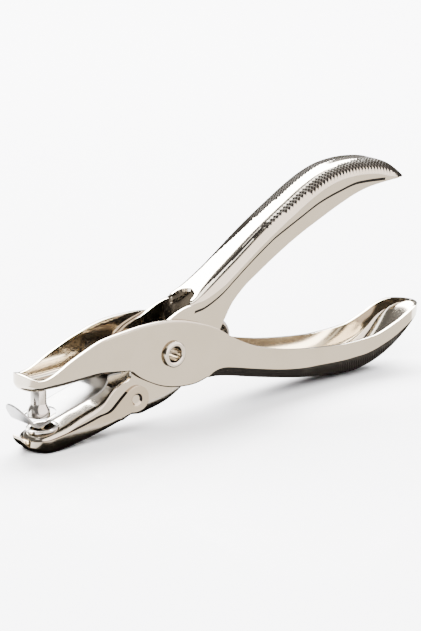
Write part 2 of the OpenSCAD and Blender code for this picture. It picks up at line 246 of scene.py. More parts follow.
@dataclass(frozen=True)
class Finish(Skin):
    """A metal finish.

    Args:
        base: main colour.
        tone: colour of the faint clouds in it.
        roughness: mean roughness.
        spread: how far the roughness varies.
        grain: strength of the fine drawn grain.
        grain_scale: grain lines per mm.
        along: axis factors of the grain, small along its lines.
        metallic: metal share.
        gloss: specular level of the part that is no metal.
    """

    base: Colour
    tone: Colour
    roughness: float
    spread: float = 0.06
    grain: float = 0.05
    grain_scale: float = 5.0
    along: Point = (0.05, 1.0, 1.0)
    metallic: float = 1.0
    gloss: float = 0.5

    def paint(self, graph: Graph) -> None:
        """Faint clouds and a fine grain. Args: graph: the empty graph."""
        clouds = graph.noise(0.12, 3.0)
        grain = graph.noise(self.grain_scale, 4.0, self.along)
        graph.principled({
            "Base Color": graph.blend(clouds.ramp(0.35, 0.7), self.base, self.tone),
            "Metallic": self.metallic,
            "Roughness": self.roughness + (clouds - 0.5) * self.spread + (grain - 0.5) * self.spread,
            "IOR": 1.5,
            "Specular IOR Level": self.gloss,
            "Normal": graph.bump(grain, self.grain, 0.05),
        })


@dataclass(frozen=True)
class KnurlFinish(Skin):
    """Dark hollows between the bright ridges of a crossed knurl.

    Args:
        hollow: colour of the hollows.
        bright: colour of the ridges.
        pitch: spacing of the ridges along and across in mm.
        share: how wide a ridge is, from 0 to 1.
        span: x range in mm in which the ridges show.
        fade: how much fainter the ridges are on the far side, from 0 to 1.
        soft: how far the ridges fade in at the ends of the span, in mm.
        roughness: mean roughness.
        ior: index of refraction of the dark hollows.
    """

    hollow: Colour
    bright: Colour
    pitch: Pair
    share: float
    span: Pair
    fade: float = 0.0
    soft: float = 3.0
    roughness: float = 0.3
    ior: float = 1.06

    def paint(self, graph: Graph) -> None:
        """Worn ridges over dark hollows. Args: graph: the empty graph."""
        split = graph.node("ShaderNodeSeparateXYZ", {}, {0: graph.millimetres()})
        x, y = Term(graph, split.outputs[0]), Term(graph, split.outputs[1])
        u, v = x / self.pitch[0], y / self.pitch[1]
        crest = (u + v).crest().larger((u - v).crest())
        low, high = self.span
        shown = x.ramp(low - self.soft, low + self.soft) * (1 - x.ramp(high - self.soft, high + self.soft))
        faint = 1 - y.ramp(-0.5, 0.5) * self.fade
        ridge = crest.ramp(1 - self.share * 1.25, 1 - self.share * 0.75) * shown * faint
        worn = graph.noise(0.4, 3.0).ramp(0.3, 0.75)
        graph.principled({
            "Base Color": graph.blend(ridge * (0.65 + worn * 0.35), self.hollow, self.bright),
            "Metallic": ridge,
            "Roughness": self.roughness + worn * 0.1,
            "IOR": self.ior,
            "Specular IOR Level": 0.0,
            "Normal": graph.bump(ridge, 0.5, 0.04),
        })


@dataclass(frozen=True)
class FloorFinish(Skin):
    """Pale acrylic with a soft mirror image. Args: base: its colour. ior: index of refraction."""

    base: Colour
    ior: float

    def paint(self, graph: Graph) -> None:
        """A polish that varies a little. Args: graph: the empty graph."""
        rough = 0.05 + graph.noise(0.02, 2.0) * 0.03
        graph.principled({"Base Color": self.base, "IOR": self.ior, "Roughness": rough})


@dataclass(frozen=True)
class CardFinish(Skin):
    """Light from a card's lower side only. Args: base: its colour."""

    base: Colour

    def paint(self, graph: Graph) -> None:
        """Glows on the lower side and is clear on the upper one. Args: graph: the empty graph."""
        inputs: Inputs = {
            0: graph.term("ShaderNodeNewGeometry", "Backfacing", {}, {}),
            1: graph.term("ShaderNodeBsdfTransparent", "BSDF", {}, {}),
            2: graph.term("ShaderNodeEmission", "Emission", {}, {"Color": self.base, "Strength": 1.0}),
        }
        graph.close(graph.term("ShaderNodeMixShader", "Shader", {}, inputs))


BLACK = (0.011, 0.0095, 0.008)
# Black of the dark cards; the one under the pieces is painted shade.
FLAG_BLACK = (0.012, 0.011, 0.01)
NICKEL = Finish("warm_nickel", (0.43, 0.385, 0.315), (0.415, 0.37, 0.3), 0.12, 0.02, 0.004)
THUMB = KnurlFinish("upper_knurl", BLACK, (0.2, 0.185, 0.16), (1.2, 0.95), 0.09, (36, 80), 0.75)
PALM = KnurlFinish("lower_knurl", BLACK, (0.13, 0.12, 0.1), (0.9, 0.9), 0.09, (48, 84))
# Painted shade: flat black for the shadow lines in creases and gaps, under edges and in the pan's dimples.
PAINTED_SHADE = Finish("painted_shade", BLACK, (0.008, 0.007, 0.006), 0.4, metallic=0.0, gloss=0.0)
SHADE = Finish("shaded_nickel", (0.075, 0.066, 0.052), (0.05, 0.043, 0.034), 0.3, 0.05, 0.02)
RIVET = Finish("rivet_nickel", (0.5, 0.46, 0.40), (0.45, 0.41, 0.35), 0.13, 0.05, 0.03, 4.0, (1, 1, 1))
WIRE = Finish("drawn_wire", (0.42, 0.40, 0.37), (0.30, 0.28, 0.26), 0.26, 0.1, 0.06, 6.0, (1, 0.2, 1))
TOOL = Finish("ground_steel", (0.52, 0.49, 0.45), (0.42, 0.395, 0.36), 0.15, 0.08, 0.05, 6.0, (1, 1, 0.1))
SATIN = Finish("satin_spring_leaf", (0.20, 0.197, 0.193), (0.17, 0.167, 0.164), 0.3, 0.08, 0.08, 7.0)
PAN = Finish("pan_nickel", (0.37, 0.32, 0.245), (0.35, 0.3, 0.225), 0.12, 0.02, 0.004)
ACRYLIC = FloorFinish("pale_acrylic", (0.93, 0.925, 0.945), 1.27)


class Line:
    """A smooth curve through key points, as a value over x, without overshoot between the keys."""

    def __init__(self, *keys: Pair) -> None:
        """Works out the slopes at the keys. Args: keys: pairs of x and value, with x rising."""
        self.x = np.array([k[0] for k in keys], float)
        self.v = np.array([k[1] for k in keys], float)
        step = np.diff(self.v) / np.diff(self.x)
        slope = np.zeros(len(self.x))
        slope[0], slope[-1] = step[0], step[-1]
        for i in range(1, len(step)):
            a, b = step[i - 1], step[i]
            ha, hb = self.x[i] - self.x[i - 1], self.x[i + 1] - self.x[i]
            mean = (a * hb + b * ha) / (ha + hb)
            limit = 3 * min(abs(a), abs(b)) if a * b > 0 else 0.0
            slope[i] = max(-limit, min(limit, mean))
        self.slope = slope

    def __call__(self, at: float) -> float:
        """The curve's value. Args: at: x. Returns: the value, held level outside the keys."""
        at = min(max(at, self.x[0]), self.x[-1])
        i = int(min(max(np.searchsorted(self.x, at) - 1, 0), len(self.x) - 2))
        h = self.x[i + 1] - self.x[i]
        t = (at - self.x[i]) / h
        u = 1 - t
        return float(
            u * u * (1 + 2 * t) * self.v[i]
            + t * t * (1 + 2 * u) * self.v[i + 1]
            + t * u * h * (u * self.slope[i] - t * self.slope[i + 1])
        )


def flat(value: float) -> Line:
    """A level line. Args: value: its value. Returns: the line."""
    return Line((-100, value), (100, value))


def placed(name: str, data: bpy.types.ID) -> bpy.types.Object:
    """Puts an object in the scene. Args: name: its name. data: its mesh, lamp or lens. Returns: the object."""
    made = bpy.data.objects.new(name, data)
    bpy.context.scene.collection.objects.link(made)
    return made


def rectangle(name: str, w: float, h: float) -> bpy.types.Mesh:
    """A flat mesh. Args: name: its name. w, h: half sizes in metres. Returns: the mesh."""
    made = bpy.data.meshes.new(name)
    made.from_pydata([(-w, -h, 0), (w, -h, 0), (w, h, 0), (-w, h, 0)], [], [[0, 1, 2, 3]])
    return made


def turn(whole: float, steps: int) -> list[float]:
    """Angles in equal steps. Args: whole: the last one, after 0. steps: their count. Returns: them in radians."""
    return [whole * k / steps for k in range(steps + 1)]


def solid_object(name: str, points: np.ndarray, faces: list[list[int]]) -> bpy.types.Object:
    """Makes a mesh object. Args: name: its name. points: in mm. faces: point numbers of each. Returns: it."""
    mesh = bpy.data.meshes.new(name)
    mesh.from_pydata((points * MM).tolist(), [], faces)
    mesh.validate()
    return placed(name, mesh)


def baked(obj: bpy.types.Object) -> bpy.types.Object:
    """Applies the object's modifiers. Args: obj: the object. Returns: the same object."""
    bpy.context.view_layer.update()
    result = bpy.data.meshes.new_from_object(obj.evaluated_get(bpy.context.evaluated_depsgraph_get()))
    obj.modifiers.clear()
    obj.data = result
    return obj


def bevelled(obj: bpy.types.Object, width: float, angle: float = 40.0, weights: bool = False) -> bpy.types.Object:
    """Rounds sharp edges.

    Args:
        obj: the object.
        width: width of the rounding in mm.
        angle: smallest edge angle in degrees that is rounded.
        weights: rounds the marked edges instead.

    Returns:
        The same object.
    """
    made = obj.modifiers.new("round", "BEVEL")
    made.width = width * MM
    made.segments = 2
    made.limit_method = "WEIGHT" if weights else "ANGLE"
    made.angle_limit = math.radians(angle)
    made.use_clamp_overlap = True
    return baked(obj)


def cut(obj: bpy.types.Object, *cutters: bpy.types.Object) -> bpy.types.Object:
    """Cuts the object and removes the cutters. Args: obj: the object. cutters: solids. Returns: obj."""
    for cutter in cutters:
        made = obj.modifiers.new("cut", "BOOLEAN")
        made.operation = "DIFFERENCE"
        made.solver = "EXACT"
        made.object = cutter
        baked(obj)
        bpy.data.objects.remove(cutter)
    return obj


def shaded(obj: bpy.types.Object, angle: float = 42.0) -> bpy.types.Object:
    """Smooth shading with sharp edges. Args: obj: the object. angle: edge angle that stays sharp. Returns: obj."""
    obj.data.shade_smooth()
    obj.data.set_sharp_from_angle(angle=math.radians(angle))
    return obj


def lathe(name: str, profile: Sequence[Pair], place: Matrix, steps: int = 72) -> bpy.types.Object:
    """Turns a profile about the z axis.

    Args:
        name: its name.
        profile: radius and height of each corner in mm, closed onto itself or onto the axis.
        place: where it goes, in mm.
        steps: sides of the turned shape.

    Returns:
        The object.
    """
    ring = [
        place @ Vector((r * math.cos(a), r * math.sin(a), h))
        for r, h in profile
        for a in turn(2 * math.pi, steps)[:-1]
    ]
    count = len(profile)
    faces: list[list[int]] = []
    closed = profile[0][0] > 0 or profile[-1][0] > 0
    for i in range(count if closed else count - 1):
        for k in range(steps):
            nxt, up = (k + 1) % steps, (i + 1) % count
            corners = [i * steps + k, i * steps + nxt, up * steps + nxt, up * steps + k]
            if profile[i][0] == 0:
                corners = [i * steps, up * steps + nxt, up * steps + k]
            elif profile[up][0] == 0:
                corners = [i * steps + k, i * steps + nxt, up * steps]
            faces.append(corners)
    made = solid_object(name, np.array([tuple(p) for p in ring]), faces)
    return tidy_normals(made)


def tidy_normals(obj: bpy.types.Object) -> bpy.types.Object:
    """Drops loose points and turns all faces outwards. Args: obj: the object. Returns: the same object."""
    work = bmesh.new()
    work.from_mesh(obj.data)
    bmesh.ops.delete(work, geom=[v for v in work.verts if not v.link_faces], context="VERTS")
    bmesh.ops.recalc_face_normals(work, faces=work.faces)
    work.to_mesh(obj.data)
    work.free()
    return obj


def joined(first: bpy.types.Object, *others: bpy.types.Object) -> bpy.types.Object:
    """Joins objects into one. Args: first: the one that stays. others: the ones that go into it. Returns: first."""
    with bpy.context.temp_override(active_object=first, selected_editable_objects=[first, *others]):
        bpy.ops.object.join()
    return first


def coat(obj: bpy.types.Object, *finishes: Skin) -> bpy.types.Object:
    """Sets the finishes. Args: obj: the object. finishes: one for each material slot. Returns: obj."""
    obj.data.materials.clear()
    for finish in finishes:
        obj.data.materials.append(finish.material())
    return obj


def touch_up(obj: bpy.types.Object, finish: Skin, holds: Callable[[Vector, Vector], bool]) -> None:
    """Gives some faces another finish.

    Args:
        obj: the object, with its other finishes.
        finish: the finish, added to the object's slots when it is new there.
        holds: tells from a face's middle in mm and its normal whether it gets the finish.
    """
    number = obj.data.materials.find(finish.name)
    if number < 0:
        number = len(obj.data.materials)
        obj.data.materials.append(finish.material())
    for face in obj.data.polygons:
        if holds(face.center / MM, face.normal):
            face.material_index = number


def along_rim(line: Line, span: Pair, sense: int, depth: float) -> Callable[[Vector, Vector], bool]:
    """Test for the faces of a rim.

    Args:
        line: height of the rim over x.
        span: x range of the rim.
        sense: 1 for a rim that faces up, -1 for one that faces down.
        depth: how far the rim reaches from the line.

    Returns:
        The test, for touch_up.
    """
    lean = 0.25

    def holds(place: Vector, normal: Vector) -> bool:
        """Tests one face. Args: place: its middle in mm. normal: its normal. Returns: the answer."""
        return span[0] < place.x < span[1] and normal.z * sense > lean and abs(place.z - line(place.x)) < depth

    return holds


def upright_at(x: float, y: float = 0.0, z: float = 0.0, tilt: float = 0.0) -> Matrix:
    """Placement of an upright piece. Args: x, y, z: in mm. tilt: about y in degrees. Returns: the matrix."""
    return Matrix.Translation((x, y, z)) @ Matrix.Rotation(math.radians(tilt), 4, "Y")


def across_at(x: float, z: float) -> Matrix:
    """Placement that turns +z to -y, towards the near side. Args: x, z: in mm. Returns: the matrix."""
    return Matrix.Translation((x, 0, z)) @ Matrix.Rotation(math.radians(90), 4, "X")


def rod(r: float, low: float, high: float, place: Matrix) -> bpy.types.Object:
    """A plain round cutter. Args: r: radius. low, high: its ends. place: its placement. Returns: the object."""
    return lathe("cutter", [(0, low), (r, low), (r, high), (0, high)], place, 64)


def bore(r: float, x: float = 0.0, z: float = 0.0) -> bpy.types.Object:
    """A cutter right across the part. Args: r: radius. x, z: its axis. Returns: the object."""
    reach = 20
    return rod(r, -reach, reach, across_at(x, z))


def prism(name: str, outline: Sequence[Pair], low: float, high: float) -> bpy.types.Object:
    """An upright prism. Args: name: its name. outline: its plan. low, high: its ends. Returns: the object."""
    count = len(outline)
    points = [(x, y, z) for z in (low, high) for x, y in outline]
    faces = [[k, (k + 1) % count, (k + 1) % count + count, k + count] for k in range(count)]
    faces += [list(range(count)), list(range(count, 2 * count))]
    return tidy_normals(solid_object(name, np.array(points), faces))


@dataclass
class Sheet:
    """A bent sheet as a grid of points on its outside.

    Args:
        points: grid of points in mm, along the piece and then across it.
        cells: which grid cells are sheet.
        thickness: sheet thickness in mm.
        web: the channel's closed side.
        lift: how far each point is raised outwards in mm.
        marks: the finish of each cell.
    """

    points: np.ndarray
    cells: np.ndarray
    thickness: float
    web: Web
    lift: np.ndarray
    marks: np.ndarray

    @classmethod
    def plain(cls, grid: Sequence[Sequence[Point]], thickness: float, web: Web) -> "Sheet":
        """A sheet of one finish. Args: grid: its points. thickness: in mm. web: its closed side. Returns: it."""
        points = np.array(grid)
        rows, across = points.shape[:2]
        cells = np.ones((rows - 1, across - 1), bool)
        return cls(points, cells, thickness, web, np.zeros((rows, across)), np.zeros(cells.shape, int))

    def normals(self) -> np.ndarray:
        """Outward normals of the smooth sheet. Returns: a grid of unit vectors."""
        collapsed, least, pointed = 1e-7, 1e-9, 1e-3
        along = np.gradient(self.points, axis=0)
        across = np.gradient(self.points, axis=1)
        n = np.cross(along, across) * self.web.value
        size = np.linalg.norm(n, axis=2, keepdims=True)
        n = np.where(size > collapsed, n / np.maximum(size, least), 0)
        for end, inner in ((0, 1), (-1, -2)):
            empty = np.linalg.norm(n[end], axis=1) < 0.5
            n[end][empty] = n[inner][empty]
            if np.abs(self.points[end, :, 1]).max() < pointed:
                n[end, :, 1] = 0
        half = n.shape[1] // 2
        for j in range(1, half):
            for at, before in ((j, j - 1), (-1 - j, -j)):
                empty = np.linalg.norm(n[:, at], axis=1) < 0.5
                n[empty, at] = n[empty, before]
        return n / np.maximum(np.linalg.norm(n, axis=2, keepdims=True), least)

    def build(self, name: str, edge: float, heavy: Line | None = None) -> bpy.types.Object:
        """Makes the solid sheet.

        Args:
            name: its name.
            edge: rounding of the open edges in mm.
            heavy: height over x of a rim that is rounded more than the others.

        Returns:
            The object.
        """
        n = self.normals()
        outside = self.points + n * self.lift[..., None]
        inside = self.points - n * self.thickness
        both = np.concatenate([outside.reshape(-1, 3), inside.reshape(-1, 3)])
        _, first, number = np.unique(np.round(both, 4), axis=0, return_index=True, return_inverse=True)
        number = np.asarray(number).reshape(-1)
        rows, columns = self.points.shape[:2]
        half = rows * columns
        faces: list[list[int]] = []
        border: dict[tuple[int, int], int] = {}

        def corner(i: int, j: int) -> int:
            """Number of a grid point. Args: i, j: its place. Returns: the number."""
            return i * columns + j

        for i in range(rows - 1):
            for j in range(columns - 1):
                if not self.cells[i, j]:
                    continue
                loop = [corner(i, j), corner(i + 1, j), corner(i + 1, j + 1), corner(i, j + 1)]
                for layer in (loop, [p + half for p in reversed(loop)]):
                    unique = list(dict.fromkeys(int(number[p]) for p in layer))
                    if len(unique) > 2:
                        faces.append(unique)
                for a, b in zip(loop, loop[1:] + loop[:1]):
                    key = (int(number[a]), int(number[b]))
                    if key[0] == key[1]:
                        continue
                    if (key[1], key[0]) in border:
                        del border[(key[1], key[0])]
                    else:
                        border[key] = a * half + b
        rims: set[frozenset[int]] = set()  # the open edges, outside and inside
        for (a, b), pair in border.items():
            p, q = divmod(pair, half)
            inner_a, inner_b = int(number[p + half]), int(number[q + half])
            quad = list(dict.fromkeys([b, a, inner_a, inner_b]))
            if len(quad) > 2:
                faces.append(quad)
                rims.add(frozenset((a, b)))
                rims.add(frozenset((inner_a, inner_b)))
        made = solid_object(name, both[first], faces)
        weight = made.data.attributes.new("bevel_weight_edge", "FLOAT", "EDGE")
        reach, light = 0.6, 0.55
        for line in made.data.edges:
            if frozenset(line.vertices) in rims:
                x, _, z = made.data.vertices[line.vertices[0]].co / MM
                full = heavy is None or (heavy.x[0] <= x <= heavy.x[-1] and abs(z - heavy(x)) < reach)
                weight.data[line.index].value = 1.0 if full else light
        tidy_normals(made)
        return bevelled(made, edge, weights=True) if edge else made

    def dress(self, obj: bpy.types.Object, finish: Finish, grip: KnurlFinish) -> None:
        """Gives the marked cells their finish. Args: obj: the built sheet. finish, grip: plain and knurled."""
        n = self.normals()
        middle = [grid[:-1, :-1] + grid[1:, :-1] + grid[:-1, 1:] + grid[1:, 1:] for grid in (self.points, n)]
        outside = (middle[0] / 4).reshape(-1, 3)
        inside = outside - (middle[1] / 4).reshape(-1, 3) * self.thickness
        tree = KDTree(2 * len(outside))
        for k, place in enumerate(np.concatenate([outside, inside])):
            tree.insert(place * MM, k)
        tree.balance()
        marks = np.concatenate([self.marks.reshape(-1), np.full(len(outside), Mark.PLAIN)])
        # The third slot is painted shade, for the cells marked as dark lines.
        coat(obj, finish, grip, PAINTED_SHADE)
        numbers = [int(marks[tree.find(face.center)[1]]) for face in obj.data.polygons]
        obj.data.polygons.foreach_set("material_index", numbers)


@dataclass(frozen=True)
class Column:
    """One column of a channel's plan. Args: x, y: on the outline. hub: x of the point it shrinks towards."""

    x: float
    y: float
    hub: float


@dataclass(frozen=True)
class Plan:
    """Half plan of a channel with two round ends.

    Args:
        front, back: x of the tips.
        front_len, back_len: lengths of their roundings.
        width: half width over x.
        arc: columns in each round end.
    """

    front: float
    front_len: float
    back: float
    back_len: float
    width: Line
    arc: int = 16

    def columns(self, stops: Sequence[float]) -> list[Column]:
        """The columns. Args: stops: x of the columns between the round ends. Returns: them from front to back."""
        hub_a, hub_b = self.front + self.front_len, self.back - self.back_len
        apart = 0.02

        def tip(hub: float, length: float) -> list[Column]:
            """A round end, from its tip. Args: hub: its middle. length: signed. Returns: its columns."""
            angles = turn(math.pi / 2, self.arc)
            return [Column(hub + length * math.cos(a), self.width(hub) * math.sin(a), hub) for a in angles]

        middle = [Column(x, self.width(x), x) for x in stops if hub_a + apart < x < hub_b - apart]
        return tip(hub_a, -self.front_len) + middle + tip(hub_b, self.back_len)[::-1]


@dataclass(frozen=True)
class Channel:
    """A sheet bent to a channel.

    Args:
        plan: its plan.
        rim: height of the open edge over x.
        wall: height where a wall without a web ends, over x.
        web: height of the web's middle over x.
        side: the web's side.
        shoulder_w, shoulder_h: width and height of the rounded shoulder over x.
        step: height of the pressed step on the wall over x.
        webs: x ranges that have a web.
        inset: how far the wall below the step stands back over x.
        thickness: sheet thickness.
        rows: grid rows on the flange, above the step and on the shoulder, and columns over half the web.
        ledge: height of the pressed step's slope.
        shade_band: height of the band of painted shade beside the step, standing for the shadow in its crease.
        outlined: whether a wall without a web ends in a line of painted shadow.
    """

    plan: Plan
    rim: Line
    wall: Line
    web: Line
    side: Web
    shoulder_w: Line
    shoulder_h: Line
    step: Line
    webs: tuple[Pair, ...]
    inset: Line
    thickness: float
    rows: tuple[int, int, int, int]
    ledge: float = 0.5
    shade_band: float = 0.25
    outlined: bool = False

    def has_web(self, x: float) -> bool:
        """Whether there is a web at x. Args: x: the place. Returns: the answer."""
        slack = 1e-6
        return any(a - slack <= x <= b + slack for a, b in self.webs)

    def half(self, column: Column) -> list[Point]:
        """One half section from the open edge to the web's middle. Args: column: its column. Returns: points."""
        flange, upper, round_rows, web_rows = self.rows
        sense = self.side.value
        full = self.plan.width(column.hub)
        webbed = self.has_web(column.x)
        size_h = self.shoulder_h(column.x) if webbed else 0.0
        size_w = self.shoulder_w(column.x) if webbed else 0.0

        def level(x: float) -> float:
            """Height of the closed side at x. Args: x: the place. Returns: the height."""
            return self.web(x) if webbed else self.wall(x)

        def inward(amount: float) -> Pair:
            """The outline point moved inwards. Args: amount: by how much. Returns: x and y."""
            keep = 1 - amount / full
            return column.hub + (column.x - column.hub) * keep, column.y * keep

        least_wall, outline, margin = 0.4, 0.32, 0.1
        start = self.rim(column.x)
        end = level(column.x) - sense * size_h
        if (end - start) * sense < least_wall:
            end = start + least_wall * sense
        room = abs(end - start)
        ledge = min(self.ledge, room * 0.5)
        free = margin * room
        step = min(max(self.step(column.x) * sense, start * sense + free), end * sense - ledge - free) * sense
        shade_band = step - min(self.shade_band, free) * sense
        x0, y0 = inward(self.inset(column.x))
        points = [(x0, y0, start + (shade_band - start) * k / (flange - 1)) for k in range(flange)]
        points.append((x0, y0, step))
        x1, y1 = inward(0.0)
        line = outline if self.outlined and not webbed else 0.0
        for k in range(upper + 1):
            share = k / (upper - 1) if line and k < upper else k / upper
            last = 0.0 if k == upper else line
            points.append((x1, y1, step + (ledge + (abs(end - step) - ledge - last) * share) * sense))
        for a in turn(math.pi / 2, round_rows)[1:]:
            px, py = inward(size_w * (1 - math.cos(a)))
            top = level(px) if webbed else end
            points.append((px, py, end + (top - end) * math.sin(a)))
        ex, ey = inward(size_w)
        for k in range(1, web_rows + 1):
            points.append((ex, ey * (1 - k / web_rows), level(ex)) if webbed else points[-1])
        return points

    def sheet(self, stops: Sequence[float], knurl: "Knurl | None" = None) -> Sheet:
        """The whole sheet. Args: stops: x of the columns. knurl: pattern of the grip. Returns: the sheet."""
        columns = self.plan.columns(stops)
        near = np.array([self.half(c) for c in columns])
        near[:, :, 1] *= -1
        far = near[:, ::-1].copy()
        far[:, :, 1] *= -1
        points = np.concatenate([near, far[:, 1:]], axis=1)
        rows, across = points.shape[:2]
        flange, upper, round_rows, web_rows = self.rows
        last_wall = flange + upper + round_rows + 1
        cells = np.ones((rows - 1, across - 1), bool)
        for i in range(rows - 1):
            if not (self.has_web(columns[i].x) and self.has_web(columns[i + 1].x)):
                cells[i, last_wall : across - 1 - last_wall] = False
        lift = np.zeros((rows, across))
        marks = np.full(cells.shape, Mark.PLAIN)
        deep = 0.1
        for i in range(rows - 1):
            # Painted shade along the pressed step, for the shadow under the wall that stands out above it.
            if self.inset(columns[i].x) > deep:
                marks[i, flange - 1 : flange + 1] = marks[i, across - 2 - flange : across - flange] = Mark.PAINTED_SHADE
            # Painted shadow where a wall without a web ends, at the ears' lower edges.
            if self.outlined and not (self.has_web(columns[i].x) or self.has_web(columns[i + 1].x)):
                marks[i, flange + upper] = marks[i, across - 2 - flange - upper] = Mark.PAINTED_SHADE
        if knurl:
            knurl.press(points, flange + 1 + knurl.skip, lift, marks)
        return Sheet(points, cells, self.thickness, self.side, lift, marks)


@dataclass(frozen=True)
class Band:
    """A strip of knurl along one shoulder. Args: low, high: distance from the middle plane over x."""

    low: Line
    high: Line

    def holds(self, x: float, off: float) -> bool:
        """Whether a point lies in the strip. Args: x: its place. off: its distance. Returns: the answer."""
        return self.low(x) <= off <= self.high(x)


@dataclass(frozen=True)
class Knurl:
    """A crossed knurl with dark hollows on a grip.

    Args:
        pitch: spacing of the ridges along and across in mm.
        start: x where the grip's dark finish starts.
        ridge_start: x where the ridges start.
        end: x where both stop.
        near, far: the strips on both sides.
        skip: grid rows above the step that stay plain.
        depth: height of the ridges in mm.
        top: how near to a crest a cell is raised, from 0 to 1.
    """

    pitch: Pair
    start: float
    ridge_start: float
    end: float
    near: Band
    far: Band
    skip: int = 0
    depth: float = 0.03
    top: float = 0.75

    def diamond(self, x: float, y: float) -> Pair:
        """Middle of the diamond that a point lies in. Args: x, y: the point. Returns: x and the distance."""
        u, v = x / self.pitch[0], y / self.pitch[1]
        a, b = math.floor(u + v) + 0.5, math.floor(u - v) + 0.5
        return (a + b) / 2 * self.pitch[0], abs(a - b) / 2 * self.pitch[1]

    def press(self, points: np.ndarray, first: int, lift: np.ndarray, marks: np.ndarray) -> None:
        """Raises the ridges and marks the knurled cells.

        Args:
            points: the sheet's grid.
            first: first grid row above the step.
            lift: the outward lift, changed in place.
            marks: the finish of each cell, changed in place.
        """
        rows, across = points.shape[:2]
        for i in range(rows - 1):
            x = float(points[i, 0, 0] + points[i + 1, 0, 0]) / 2
            if not self.start <= x <= self.end:
                continue
            for j in range(first, across - 1 - first):
                y = float(points[i, j, 1] + points[i, j + 1, 1]) / 2
                band = self.near if y < 0 else self.far
                if not band.holds(*(self.diamond(x, y) if x > self.ridge_start else (x, abs(y)))):
                    continue
                u, v = x / self.pitch[0], y / self.pitch[1]
                crest = max(abs(2 * ((u + v) % 1) - 1), abs(2 * ((u - v) % 1) - 1))
                marks[i, j] = Mark.KNURL
                lift[i, j] = self.depth if x > self.ridge_start and crest > self.top else 0.0


def grip_gap() -> float:
    """Column spacing on the grips."""
    return 0.2


def stops(*parts: tuple[float, float, float]) -> list[float]:
    """Column places. Args: parts: start, end and spacing of each stretch. Returns: the places in order."""
    out: list[float] = []
    for a, b, gap in parts:
        count = max(1, round((b - a) / gap))
        out += [a + (b - a) * k / count for k in range(count)]
    return out + [parts[-1][1]]


@dataclass
class Piece:
    """A visible piece that stands for one CAD node. Args: node, body, slot: its places in the record; slot is not
    used.
    """

    bends: ClassVar[bool] = False
    node: str
    body: Body
    slot: Slot

    def build(self) -> bpy.types.Object:
        """Builds the piece. Returns: its object."""
        raise NotImplementedError

    def publish(self, obj: bpy.types.Object, finish: Finish | None = None) -> bpy.types.Object:
        """Names, dresses and attaches the piece. Args: obj: it. finish: its finish, if still bare. Returns: obj."""
        obj.name = f"{self.node}_visual"
        if finish:
            coat(obj, finish)
        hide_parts(self.node)
        if not self.bends:
            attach(obj, self.body.value)
        log.info("%s: %d faces on %s", obj.name, len(obj.data.polygons), self.body.value)
        return obj


@dataclass
class OuterLever(Piece):
    """Upper jaw, outer ears and lower handle.

    Args:
        rivet_r, spigot_r, tab_r: radii of the holes for the pivot rivet, the pin and the leaf's rivets.
    """

    rivet_r: float = 2.67
    spigot_r: float = 1.83
    tab_r: float = 0.83

    def channel(self) -> Channel:
        """The lever's shape. Returns: the channel."""
        width = Line((-48.1, 5.6), (-24, 5.6), (-19, 6.3), (-14, 6.7), (12, 6.7), (20, 7.15), (28, 7.5), (96, 7.5))
        rim = Line(
            (-48.1, 2.3), (-46.5, 1.4), (-44, 0.5), (-41, 0.9), (-38, 2.1), (-34.5, 3.9), (-31, 5.4), (-24, 8),
            (-16, 9.6), (-8, 10.2), (0, 9.7), (8, 7.6), (15, 4.7), (22, 0.3), (30, -3.5), (40, -6.2), (52, -8.1),
            (64, -9.1), (75, -8.7), (84, -6.1), (89, -4.1), (93, -3.2), (96.8, -3.2),
        )
        wall = Line(
            (-15.2, -1.7), (-11.5, -4.75), (-8.2, -6.7), (-4.8, -8.3), (-1.2, -9.4), (2.3, -10), (5.9, -10.25),
            (9.3, -9.95), (11.4, -9.4), (12.9, -9.0),
        )
        web = Line(
            (-48.1, -3), (-38, -3), (-30, -2.7), (-24, -2.4), (-15.2, -2.2), (12.9, -9.5), (22, -11.7), (31, -13.9),
            (40, -15.9), (52, -18.2), (62, -19.4), (69, -19.75), (74, -19.2), (78, -18.1), (83, -15.6), (87, -12.7),
            (92, -8.6), (97, -4.6),
        )
        return Channel(
            Plan(-48.1, 5.6, 96.8, 11, width, 20),
            rim, wall, web, Web.BELOW,
            Line(
                (-48.1, 2.9), (-26, 2.7), (-18, 1.6), (-15.2, 0.9), (12.9, 0.7), (15, 2.2), (19, 4.6), (26, 6.2),
                (96, 6.3),
            ),
            Line(
                (-48.1, 2.4), (-26, 2.2), (-18, 1.1), (-15.2, 0.6), (12.9, 0.8), (14.2, 1.75), (19.7, 3.5), (27, 3.6),
                (36, 3.6), (47.6, 4.2), (53.6, 4.9), (63.6, 5.6), (69.2, 6.0), (76.7, 6.0), (83, 5.2), (88.3, 3.9),
                (92, 2.3), (96.8, 0.6),
            ),
            flat(0),
            ((-48.2, -15.2), (12.9, 97)),
            flat(0),
            0.9,
            (6, 4, 26, 8),
            outlined=True,
        )

    def build(self) -> bpy.types.Object:
        """Builds the lever. Returns: its object."""
        shape = self.channel()
        belly = Band(flat(0), flat(8))
        places = stops((-42.5, -15.2, 0.8), (-15.2, 12.9, 0.8), (12.9, 34, 0.35), (34, 85.8, grip_gap()))
        sheet = shape.sheet(places, Knurl(PALM.pitch, 12.8, 42, 98, belly, belly, 4))
        made = sheet.build(self.node, 0.5, shape.wall)
        cut(
            made,
            bore(self.rivet_r),
            rod(self.spigot_r, -8, 4, upright_at(PIN_X)),
            *(rod(self.tab_r, -8, 4, upright_at(TAB_X, y)) for y in (TAB_Y, -TAB_Y)),
        )
        sheet.dress(made, NICKEL, PALM)
        # Painted shadow on the downward faces of the ears' lower edges, where they stand off the inner lever.
        touch_up(made, PAINTED_SHADE, along_rim(shape.wall, (-15, 12.8), -1, 0.4))
        return self.publish(shaded(made))


